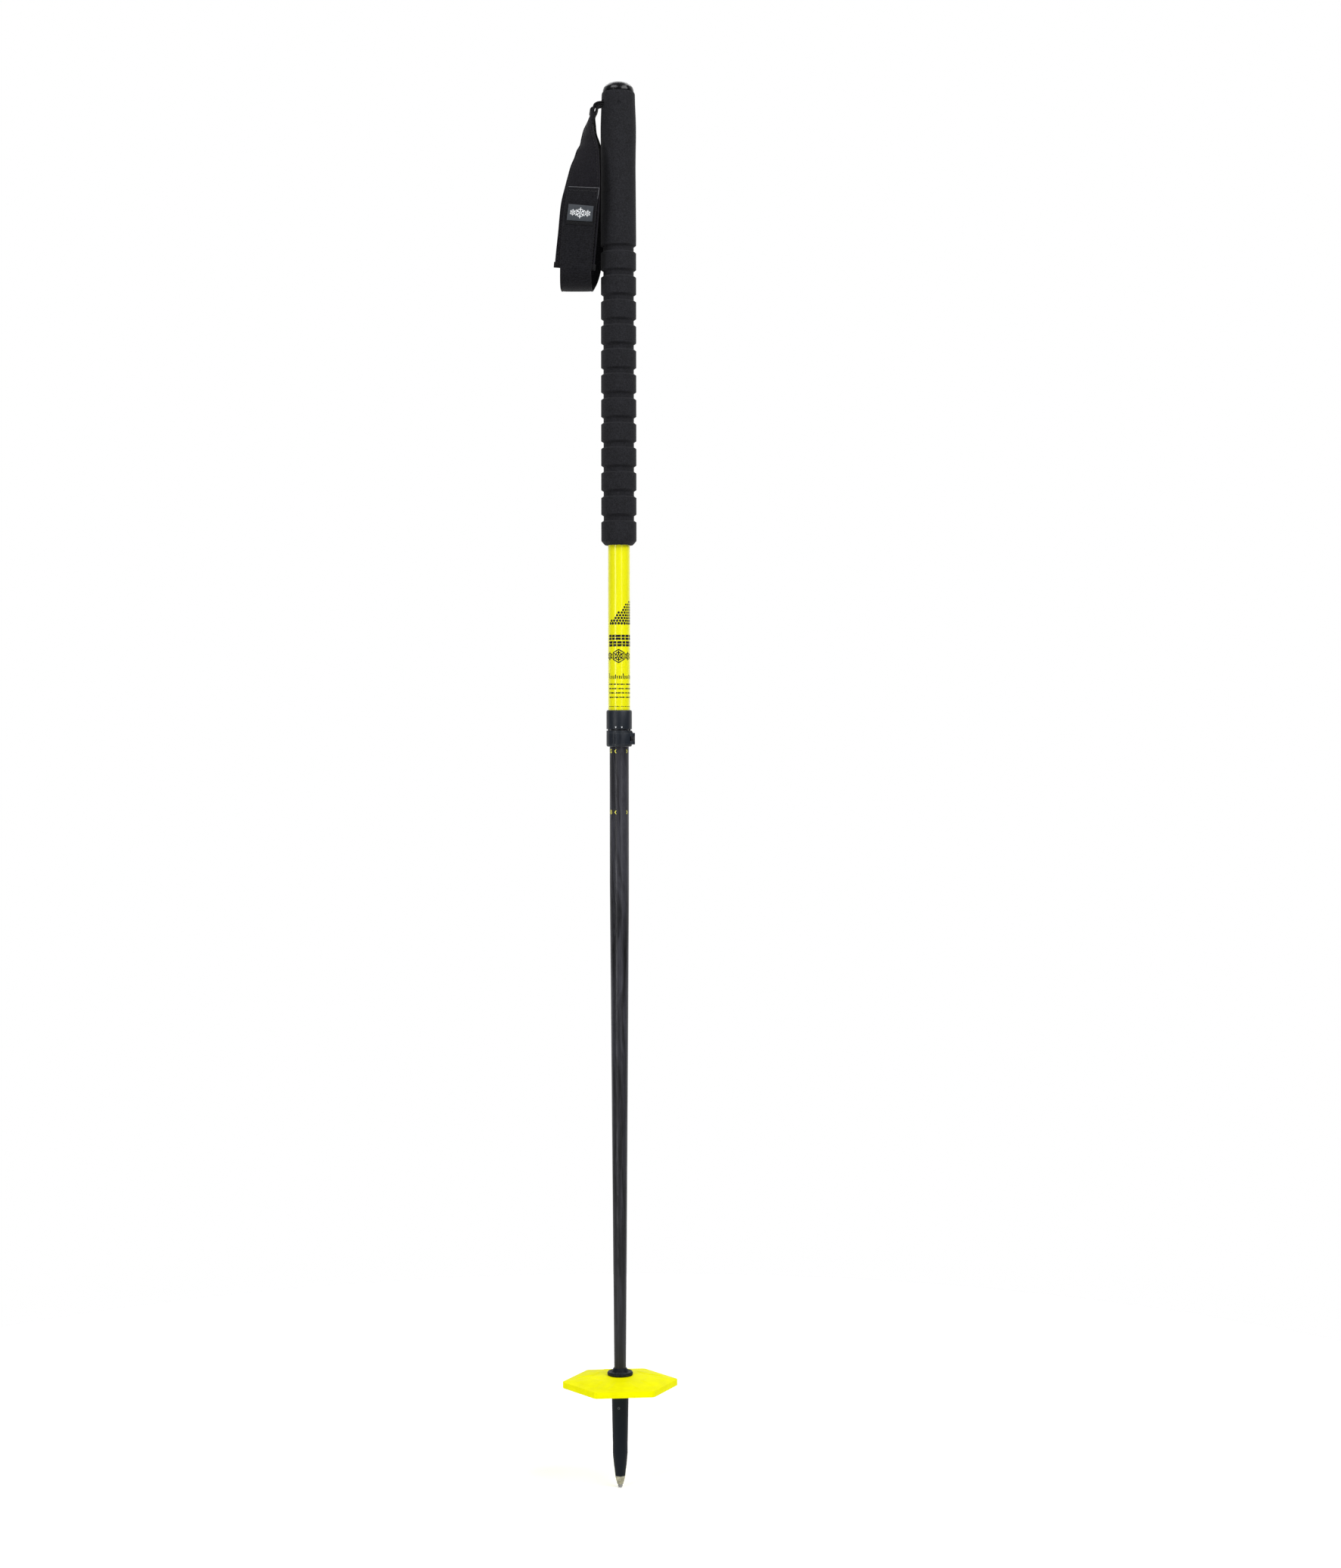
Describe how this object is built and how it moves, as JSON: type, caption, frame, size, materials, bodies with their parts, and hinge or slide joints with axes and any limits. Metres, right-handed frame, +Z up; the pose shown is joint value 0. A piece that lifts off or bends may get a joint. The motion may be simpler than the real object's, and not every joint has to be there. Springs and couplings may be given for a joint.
{
  "type": "ski pole",
  "caption": "Telescopic touring ski pole with a long foam grip, wrist strap, lever clamp, tapered carbon lower shaft, hexagonal powder basket and hard tip.",
  "frame": {"origin": "where the tip's end face meets the ground, on the pole's axis", "axes": "+Z up the shaft towards the grip, -X to the side the wrist strap hangs on, -Y to the face with the print, the label and the clamp's lever"},
  "size_m": [0.0992, 0.087, 1.155],
  "materials": {
    "tube_paint": "glossy yellow lacquer on drawn alloy tube",
    "grip_foam": "matt closed-cell foam, ground surface",
    "cap_gloss": "polished moulded plastic",
    "black_plastic": "satin moulded plastic",
    "steel": "plated, satin",
    "strap_webbing": "woven polyester webbing",
    "strap_band": "knitted fabric over a thin foam",
    "strap_elastic": "ribbed elastic webbing",
    "label_dark": "woven label backing",
    "label_grey": "soft moulded label, matt",
    "carbon": "clear-coated carbon fibre laminate with streaked tow",
    "basket_plastic": "satin moulded plastic",
    "tip_alloy": "blasted, slightly worn"
  },
  "bodies": {
    "upper_section": {"upper_tube": "tube_paint", "grip_foam": "grip_foam", "top_cap": "cap_gloss", "head_insert": "black_plastic", "strap_pin": "steel", "strap_anchor": "strap_webbing", "clamp_collar": "black_plastic", "barrel_nut": "steel", "tension_screw": "steel"},
    "lever": {"clamp_lever": "black_plastic"},
    "strap": {"strap_webbing": "strap_webbing", "strap_band": "strap_band", "strap_panel": "strap_elastic", "hook_patch": "strap_band", "label_base": "label_dark", "label_plate": "label_grey"},
    "lower_section": {"lower_shaft": "carbon", "shaft_plug": "black_plastic", "basket_collar": "black_plastic", "basket": "basket_plastic", "ferrule": "black_plastic", "tip_sleeve": "tip_alloy", "tip_pin": "steel"}
  },
  "joints": [
    {"name": "length_slide", "type": "slide", "parent": "upper_section", "child": "lower_section", "axis": [0, 0, -1], "range_m": [-0.05, 0.25]},
    {"name": "lever_hinge", "type": "hinge", "parent": "upper_section", "child": "lever", "pos_m": [0.0105, -0.006, 0.61505], "axis": [0, 0, 1], "range_deg": [0, 120]},
    {"name": "strap_swing", "type": "hinge", "parent": "upper_section", "child": "strap", "pos_m": [-0.0176, 0, 1.1359], "axis": [0, 1, 0], "range_deg": [0, 150]}
  ]
}
